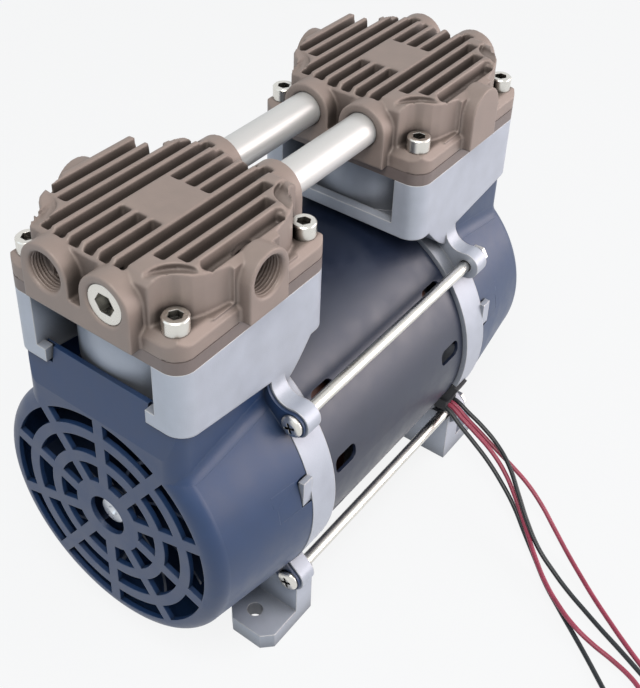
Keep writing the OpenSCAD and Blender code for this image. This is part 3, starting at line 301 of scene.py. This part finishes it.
def add_lead(node, route):
    """One insulated lead as a smooth curve, with the twisted strands of its bare end."""
    slot = "lead_black" if node.startswith("black") else "lead_red"
    tip, before = Vector(route[-1]), Vector(route[-2])
    along = (tip - before).normalized()
    points = [Vector(p) for p in route[:-1]] + [tip - along * STRIPPED]
    curve = bpy.data.curves.new(node + "_insulation", "CURVE")
    curve.dimensions = "3D"
    curve.bevel_depth = LEAD_D / 2 * MM
    curve.bevel_resolution = 5
    curve.resolution_u = 8
    curve.use_fill_caps = True
    spline = curve.splines.new("BEZIER")
    spline.bezier_points.add(len(points) - 1)
    for knot, p in zip(spline.bezier_points, points):
        knot.co = p * MM
        knot.handle_left_type = knot.handle_right_type = "AUTO"
    lead = bpy.data.objects.new(node + "_insulation", curve)
    bpy.context.scene.collection.objects.link(lead)
    curve.materials.append(finishes[slot])
    strands = []
    side = along.cross(Vector((0, 0, 1))).normalized()
    up = along.cross(side)
    for k in range(STRAND_COUNT):
        ring_r = 0.0 if k == STRAND_COUNT - 1 else STRAND_RING_R
        path = []
        for i in range(STRAND_STEPS + 1):
            turn = math.radians(60 * k + 12 * i)
            path.append(tip - along * (STRIPPED + STRANDS_INSIDE) * (1 - i / STRAND_STEPS)
                        + (side * math.cos(turn) + up * math.sin(turn)) * ring_r)
        strands.append(sweep(path, ring(STRAND_R, 8)))
    core = make(node + "_strands", *join(strands), "zinc_steel")
    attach(lead, "pump_body")
    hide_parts(node)


for lead_node, lead_route in ROUTES.items():
    add_lead(lead_node, lead_route)

# Fan covers: the fillets between neck and round, and the lands that close the notches of the rim
AXIS_Z = 74.3
NECK_HALF_W, NECK_CORNER = 40.5, 8.0
RIM_R, FACE_R, FACE_EDGE_R = 64.7, 52.0, 6.8
COVER_BACK, COVER_FRONT = 68.02, 118.3
FILLET_R, FILLET_FADE, FILLET_END = 9.0, 105.0, 0.9
FILLET_STATIONS, FILLET_STEPS = 34, 12
INSIDE = 0.8
LAND_Y, LAND_Z, LAND_DEPTHS = (73.4, 87.0), (83.3, 96.7), (0.03, 2.0)
LAND_ROWS, LAND_COLUMNS = 12, 10


def cover_round(y):
    """Radius of the cover's round at a distance from the pump's middle."""
    edge = COVER_FRONT - FACE_EDGE_R
    if y <= edge:
        return RIM_R - (RIM_R - FACE_R - FACE_EDGE_R) * (y - COVER_BACK) / (edge - COVER_BACK)
    return FACE_R + math.sqrt(max(FACE_EDGE_R ** 2 - (y - edge) ** 2, 0))


def neck_half(y):
    """Half width of the cover's neck there."""
    corner = COVER_FRONT - NECK_CORNER
    if y <= corner:
        return NECK_HALF_W
    return NECK_HALF_W - NECK_CORNER + math.sqrt(max(NECK_CORNER ** 2 - (y - corner) ** 2, 0))


def add_cover_fillet(name, side, end):
    """One of the two hollow curves that lead the neck of a cover into its round."""
    points = []
    for i in range(FILLET_STATIONS):
        y = COVER_BACK + (COVER_FRONT - FILLET_END - COVER_BACK) * i / (FILLET_STATIONS - 1)
        fade = max(0.0, (y - FILLET_FADE) / (COVER_FRONT - FILLET_FADE))
        fillet = FILLET_R * math.sqrt(1 - fade ** 2)
        radius, half = cover_round(y), neck_half(y)
        centre = Vector((half + fillet, math.sqrt((radius + fillet) ** 2 - (half + fillet) ** 2)))
        turn = math.atan2(centre.y, centre.x)
        angles = [math.pi + turn * k / FILLET_STEPS for k in range(FILLET_STEPS + 1)]
        arc = [centre + Vector((math.cos(angle), math.sin(angle))) * fillet for angle in angles]
        crease = math.sqrt(radius ** 2 - half ** 2)
        arc += [arc[-1] * (1 - INSIDE / radius), Vector((half - INSIDE, crease - INSIDE)),
                Vector((half - INSIDE, centre.y))]
        points += [(side * p.x, end * y, AXIS_Z + p.y) for p in arc]
    sides = FILLET_STEPS + 4
    faces = tube_faces(FILLET_STATIONS, sides) + tube_ends(FILLET_STATIONS, sides)
    make(name, points, faces, "cover_plastic")


def add_cover_land(name, side, end):
    """The stretch of a cover's round that closes its notch beyond the crankcase's tab."""
    rows, columns = LAND_ROWS, LAND_COLUMNS
    points = []
    for depth in LAND_DEPTHS:
        for i in range(rows):
            y = LAND_Y[0] + (LAND_Y[1] - LAND_Y[0]) * i / (rows - 1)
            for k in range(columns):
                z = LAND_Z[0] + (LAND_Z[1] - LAND_Z[0]) * k / (columns - 1)
                x = math.sqrt((cover_round(y) - depth) ** 2 - (z - AXIS_Z) ** 2)
                points.append((side * x, end * y, z))
    inner = rows * columns
    grid = [base + i * columns + k for base in (0, inner) for i in range(rows - 1)
            for k in range(columns - 1)]
    faces = [(c, c + 1, c + columns + 1, c + columns) for c in grid]
    border = list(range(columns))
    border += [i * columns + columns - 1 for i in range(1, rows)]
    border += [(rows - 1) * columns + k for k in range(columns - 2, -1, -1)]
    border += [i * columns for i in range(rows - 2, 0, -1)]
    faces += [(a, b, b + inner, a + inner) for a, b in zip(border, border[1:] + border[:1])]
    make(name, points, faces, "cover_plastic")


for unit, end in (("near", -1), ("far", 1)):
    for hand, side in (("left", -1), ("right", 1)):
        add_cover_fillet(f"{unit}_cover_fillet_{hand}", side, end)
        add_cover_land(f"{unit}_cover_land_{hand}", side, end)

# Cylinder heads: drafted fin grooves, close screw wells and soft cast edges, x and y from a head's middle
HEAD_Y = 75.0
HEAD_TOP, HEAD_SEAT = 203.4, 184.4
FILL_SUNK, CUT_ABOVE = 0.4, 2
CROWN_X, CROWN_SLOPE_X, CROWN_Y, CROWN_SLOPE_Y = 34.5, 4.4 / 7.5, 37.0, 1.0
FIN_PITCH, FIN_FLOOR, GROOVE_TOP_W, GROOVE_FLOOR_W = 7.25, 197.4, 5.3, 3.7
PAD_HALF_Y = 13.0
GROOVES = [(-5, -22, 27), (-4, -23, 27), (-3, -37.5, 40.5), (-2, -38.5, 40.5), (2, -38.5, 40.5), (3, -27, 31),
           (4, -23, 23), (5, -20, 20)]
GROOVES += [(k, -38.5, -PAD_HALF_Y) for k in (-1, 0, 1)] + [(k, PAD_HALF_Y, 40.5) for k in (-1, 0, 1)]
WELL_START, WELL_EDGE, WELL_INNER = (18, 12), 39.9, (39.2, 12)
LEFT_FINS_X, LEFT_FINS_Y = (-41.8, -33), (-22.5, 24)
WELL = [(28.0, 39.9), (28.9, 37.6), (29.3, 34.6), (30.9, 31.6), (33.8, 30.0), (36.4, 27.2), (38.2, 23.0),
        (39.2, 18.5), (40.4, 12.6)]
WELL_BEHIND = [(27.3, 39.9), (27.3, 36.5), (27.4, 33), (27.6, 29.5), (28.4, 26), (31, 24.4), (36, 24.3),
               (40.0, 24.0), (40.4, 12.6)]
HEAD_VOXEL, HEAD_KEEP = 0.5, 0.35


def crown(x, y):
    """Height of the head's crown there."""
    return HEAD_TOP - max(0, (abs(x) - CROWN_X) * CROWN_SLOPE_X, (abs(y) - CROWN_Y) * CROWN_SLOPE_Y)


def plain(name, points, faces):
    """A mesh object without finish or body, as a helper for a boolean."""
    mesh = bpy.data.meshes.new(name)
    mesh.from_pydata([Vector(p) * MM for p in points], [], faces)
    bm = bmesh.new()
    bm.from_mesh(mesh)
    bmesh.ops.recalc_face_normals(bm, faces=bm.faces)
    bm.to_mesh(mesh)
    bm.free()
    obj = bpy.data.objects.new(name, mesh)
    bpy.context.scene.collection.objects.link(obj)
    return obj


def settle(obj):
    """Puts the result of the object's modifiers into its mesh."""
    bpy.context.view_layer.update()
    made = bpy.data.meshes.new_from_object(obj.evaluated_get(bpy.context.evaluated_depsgraph_get()))
    obj.modifiers.clear()
    obj.data = made


def boolean(obj, helper, operation):
    """Adds the helper to the object or cuts it away, and removes the helper."""
    modifier = obj.modifiers.new(operation, "BOOLEAN")
    modifier.operation = operation
    modifier.solver = "EXACT"
    modifier.object = helper
    settle(obj)
    bpy.data.objects.remove(helper)


def prism(outline, low, tops):
    """Points and faces of an upright prism with its own top height at each corner."""
    count = len(outline)
    points = [(x, y, low) for x, y in outline] + [(x, y, z) for (x, y), z in zip(outline, tops)]
    faces = [(k, (k + 1) % count, count + (k + 1) % count, count + k) for k in range(count)]
    return points, faces + [tuple(range(count)), tuple(range(count, 2 * count))]


def groove(x, y0, y1):
    """A fin groove with drafted sides, as a solid to cut away."""
    top = HEAD_TOP + CUT_ABOVE
    rise = top - FIN_FLOOR
    flare = (GROOVE_TOP_W - GROOVE_FLOOR_W) / 2 * rise / (HEAD_TOP - FIN_FLOOR)
    low, high = GROOVE_FLOOR_W / 2, GROOVE_FLOOR_W / 2 + flare
    points = [(x - low, y0, FIN_FLOOR), (x + low, y0, FIN_FLOOR), (x + high, y0 - flare, top),
              (x - high, y0 - flare, top)]
    points += [(px, y1 + (y0 - py), pz) for px, py, pz in points]
    faces = [(0, 1, 2, 3), (4, 5, 6, 7), (0, 1, 5, 4), (1, 2, 6, 5), (2, 3, 7, 6), (3, 0, 4, 7)]
    return points, faces


def add_head(node, centre):
    """The finned head: the CAD solid with reshaped wells and grooves, and its edges softened as cast."""
    head = bpy.data.objects.new(node + "_casting", nodes[node].data.copy())
    bpy.context.scene.collection.objects.link(head)
    bm = bmesh.new()
    bm.from_mesh(head.data)
    bmesh.ops.remove_doubles(bm, verts=bm.verts, dist=1e-6)
    bm.to_mesh(head.data)
    bm.free()
    fill, cut = [], []
    for sx in (-1, 1):
        for sy in (-1, 1):
            well = WELL_BEHIND if sx < 0 < sy else WELL
            outline = [WELL_START, (WELL_START[0], WELL_EDGE)] + well[:-1] + [WELL_INNER]
            tops = [crown(x if sx > 0 else 0, y) for x, y in outline]
            corners = [(sx * x, centre + sy * y) for x, y in outline]
            fill.append(prism(corners, HEAD_SEAT - FILL_SUNK, tops))
            beyond = [(43.2, 12.6)] + WELL[:4:-1] + [(43.2, 27.2)]
            if well is WELL_BEHIND:
                beyond = [(48.0, 24.0)] + well[7:0:-1] + [(27.3, 48.0), (48.0, 48.0)]
            corners = [(sx * x, centre + sy * y) for x, y in beyond]
            cut.append(prism(corners, HEAD_SEAT, [HEAD_TOP + CUT_ABOVE] * len(beyond)))
    (x0, x1), (y0, y1) = LEFT_FINS_X, LEFT_FINS_Y
    corners = [(x0, centre + y0), (x1, centre + y0), (x1, centre + y1), (x0, centre + y1)]
    fill.append(prism(corners, HEAD_SEAT - FILL_SUNK, [HEAD_TOP] * 4))
    for solid in fill:
        boolean(head, plain("fill", *solid), "UNION")
    boolean(head, plain("cut", *join(cut)), "DIFFERENCE")
    grooves = [groove(k * FIN_PITCH, centre + a, centre + b) for k, a, b in GROOVES]
    boolean(head, plain("grooves", *join(grooves)), "DIFFERENCE")
    voxels = head.modifiers.new("cast", "REMESH")
    voxels.mode = "VOXEL"
    voxels.voxel_size = HEAD_VOXEL * MM
    soft = head.modifiers.new("soft", "SMOOTH")
    soft.factor = 0.5
    soft.iterations = 3
    fewer = head.modifiers.new("fewer", "DECIMATE")
    fewer.ratio = HEAD_KEEP
    settle(head)
    for face in head.data.polygons:
        face.use_smooth = True
    head.data.materials.clear()
    head.data.materials.append(finishes["head_coating"])
    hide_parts(node)
    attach(head, "pump_body")


add_head("near_head", -HEAD_Y)
add_head("far_head", HEAD_Y)

# Turned ends of the motor shaft, which show in the hub holes of the covers
SHAFT_END_SIDES = 40
SHAFT_END = [(0, 112.9), (6.3, 112.9), (6.3, 114.5), (5.7, 115.1), (2.2, 115.1), (1.2, 114.0), (0, 113.6)]


def add_shaft_end(name, end):
    """The chamfered tip of the shaft with its centre hole, turned from the outline above."""
    sides, rings = SHAFT_END_SIDES, len(SHAFT_END) - 2
    points = [(x, end * y, AXIS_Z + z) for r, y in SHAFT_END if r for x, z in ring(r, sides)]
    points += [(0, end * SHAFT_END[0][1], AXIS_Z), (0, end * SHAFT_END[-1][1], AXIS_Z)]
    back, tip, last = len(points) - 2, len(points) - 1, (rings - 1) * sides
    faces = tube_faces(rings, sides)
    faces += [((k + 1) % sides, k, back) for k in range(sides)]
    faces += [(last + k, last + (k + 1) % sides, tip) for k in range(sides)]
    make(name, points, faces, "shaft_steel", "shaft_body", sharp=25)


add_shaft_end("near_shaft_end", -1)
add_shaft_end("far_shaft_end", 1)

# Threads in the open ports
PORT_Z, PORT_X = 191.0, 14.4
THREAD_R, THREAD_DEPTH, THREAD_PITCH, THREAD_TURNS = 7.9, 0.3, 1.34, 7.5
THREAD_SIDES, THREAD_SUNK = 36, 0.1


def add_thread(name, start, along, across):
    """The helical crest of a port's inside thread, a low ridge on the bore."""
    start, along, across = Vector(start), Vector(along), Vector(across)
    up = along.cross(across)
    points = []
    steps = int(THREAD_TURNS * THREAD_SIDES)
    for i in range(steps + 1):
        angle = 2 * math.pi * i / THREAD_SIDES
        out = across * math.cos(angle) + up * math.sin(angle)
        crest = THREAD_DEPTH * min(1.0, i / (THREAD_SIDES / 2), (steps - i) / (THREAD_SIDES / 2))
        at = start + along * (THREAD_PITCH * i / THREAD_SIDES)
        for shift, rise in ((-0.45, -THREAD_SUNK), (-0.08, crest), (0.08, crest), (0.45, -THREAD_SUNK)):
            points.append(at + along * (shift * THREAD_PITCH) + out * (THREAD_R - rise))
    make(name, points, tube_faces(steps + 1, 4) + tube_ends(steps + 1, 4), "head_coating", sharp=50)


add_thread("intake_port_thread", (-PORT_X, -120.6, PORT_Z), (0, 1, 0), (1, 0, 0))
add_thread("outlet_port_thread", (46.0, -HEAD_Y, PORT_Z), (-1, 0, 0), (0, 1, 0))


# Floor, background and light
FLOOR_HALF, FLOOR_BELOW = 4.0, 0.0002
FLOOR_COLOUR, FLOOR_GLOW = (0.5, 0.55, 0.6, 1), 0.87
SKY_COLOUR, SKY_STRENGTH = (0.84, 0.93, 1.0, 1), 0.36
BACKDROP_COLOUR = (0.92, 0.93, 0.935, 1)


def seen_directly(tree):
    """1 for rays from the camera, off a glossy surface or through a clear one."""
    path = tree.nodes.new("ShaderNodeLightPath")
    value = path.outputs["Is Camera Ray"]
    for name in ("Is Glossy Ray", "Is Transmission Ray"):
        either = tree.nodes.new("ShaderNodeMath")
        either.operation = "MAXIMUM"
        tree.links.new(value, either.inputs[0])
        tree.links.new(path.outputs[name], either.inputs[1])
        value = either.outputs[0]
    return value


def add_floor():
    """A pale floor that takes the soft shadow and shows white to the camera and in reflections."""
    mesh = bpy.data.meshes.new("floor")
    half = FLOOR_HALF
    corners = [(-half, -half, 0), (half, -half, 0), (half, half, 0), (-half, half, 0)]
    mesh.from_pydata(corners, [], [(0, 1, 2, 3)])
    floor = bpy.data.objects.new("floor", mesh)
    floor.location.z = -FLOOR_BELOW
    bpy.context.scene.collection.objects.link(floor)
    mat = bpy.data.materials.new("floor")
    mat.use_nodes = True
    tree = mat.node_tree
    tree.nodes.clear()
    diffuse = tree.nodes.new("ShaderNodeBsdfDiffuse")
    diffuse.inputs["Color"].default_value = FLOOR_COLOUR
    white = tree.nodes.new("ShaderNodeEmission")
    white.inputs["Strength"].default_value = 1
    seen = tree.nodes.new("ShaderNodeMath")
    seen.operation = "MULTIPLY"
    seen.inputs[1].default_value = FLOOR_GLOW
    blend = tree.nodes.new("ShaderNodeMixShader")
    out = tree.nodes.new("ShaderNodeOutputMaterial")
    tree.links.new(seen_directly(tree), seen.inputs[0])
    tree.links.new(seen.outputs[0], blend.inputs[0])
    tree.links.new(diffuse.outputs[0], blend.inputs[1])
    tree.links.new(white.outputs[0], blend.inputs[2])
    tree.links.new(blend.outputs[0], out.inputs["Surface"])
    mesh.materials.append(mat)


def add_light(name, place, aim, size, power, colour):
    """A rectangular lamp. Metres and watts."""
    data = bpy.data.lights.new(name, "AREA")
    data.shape = "RECTANGLE"
    data.size, data.size_y = size
    data.energy = power
    data.color = colour
    light = bpy.data.objects.new(name, data)
    light.location = place
    light.rotation_euler = (Vector(aim) - Vector(place)).to_track_quat("-Z", "Y").to_euler()
    bpy.context.scene.collection.objects.link(light)


def add_world():
    """Soft bluish light from all round, and a near white backdrop to the camera and in reflections."""
    world = bpy.data.worlds.new("studio")
    bpy.context.scene.world = world
    world.use_nodes = True
    tree = world.node_tree
    tree.nodes.clear()
    soft = tree.nodes.new("ShaderNodeBackground")
    soft.inputs["Color"].default_value = SKY_COLOUR
    soft.inputs["Strength"].default_value = SKY_STRENGTH
    white = tree.nodes.new("ShaderNodeBackground")
    white.inputs["Color"].default_value = BACKDROP_COLOUR
    white.inputs["Strength"].default_value = 1
    blend = tree.nodes.new("ShaderNodeMixShader")
    out = tree.nodes.new("ShaderNodeOutputWorld")
    tree.links.new(seen_directly(tree), blend.inputs[0])
    tree.links.new(soft.outputs[0], blend.inputs[1])
    tree.links.new(white.outputs[0], blend.inputs[2])
    tree.links.new(blend.outputs[0], out.inputs["Surface"])


add_floor()
add_world()
add_light("key", (0.3, -0.45, 0.95), (0, 0, 0.12), (0.5, 0.5), 7, (1, 0.95, 0.89))
add_light("side", (1.02, 0.78, 0.42), (0, 0, 0.1), (1.3, 1.0), 16, (1, 0.88, 0.85))
add_light("fill", (-0.5, -0.9, 0.5), (0, 0, 0.1), (0.8, 0.8), 1.0, (0.65, 0.85, 1))

bpy.context.scene.view_settings.view_transform = "Standard"
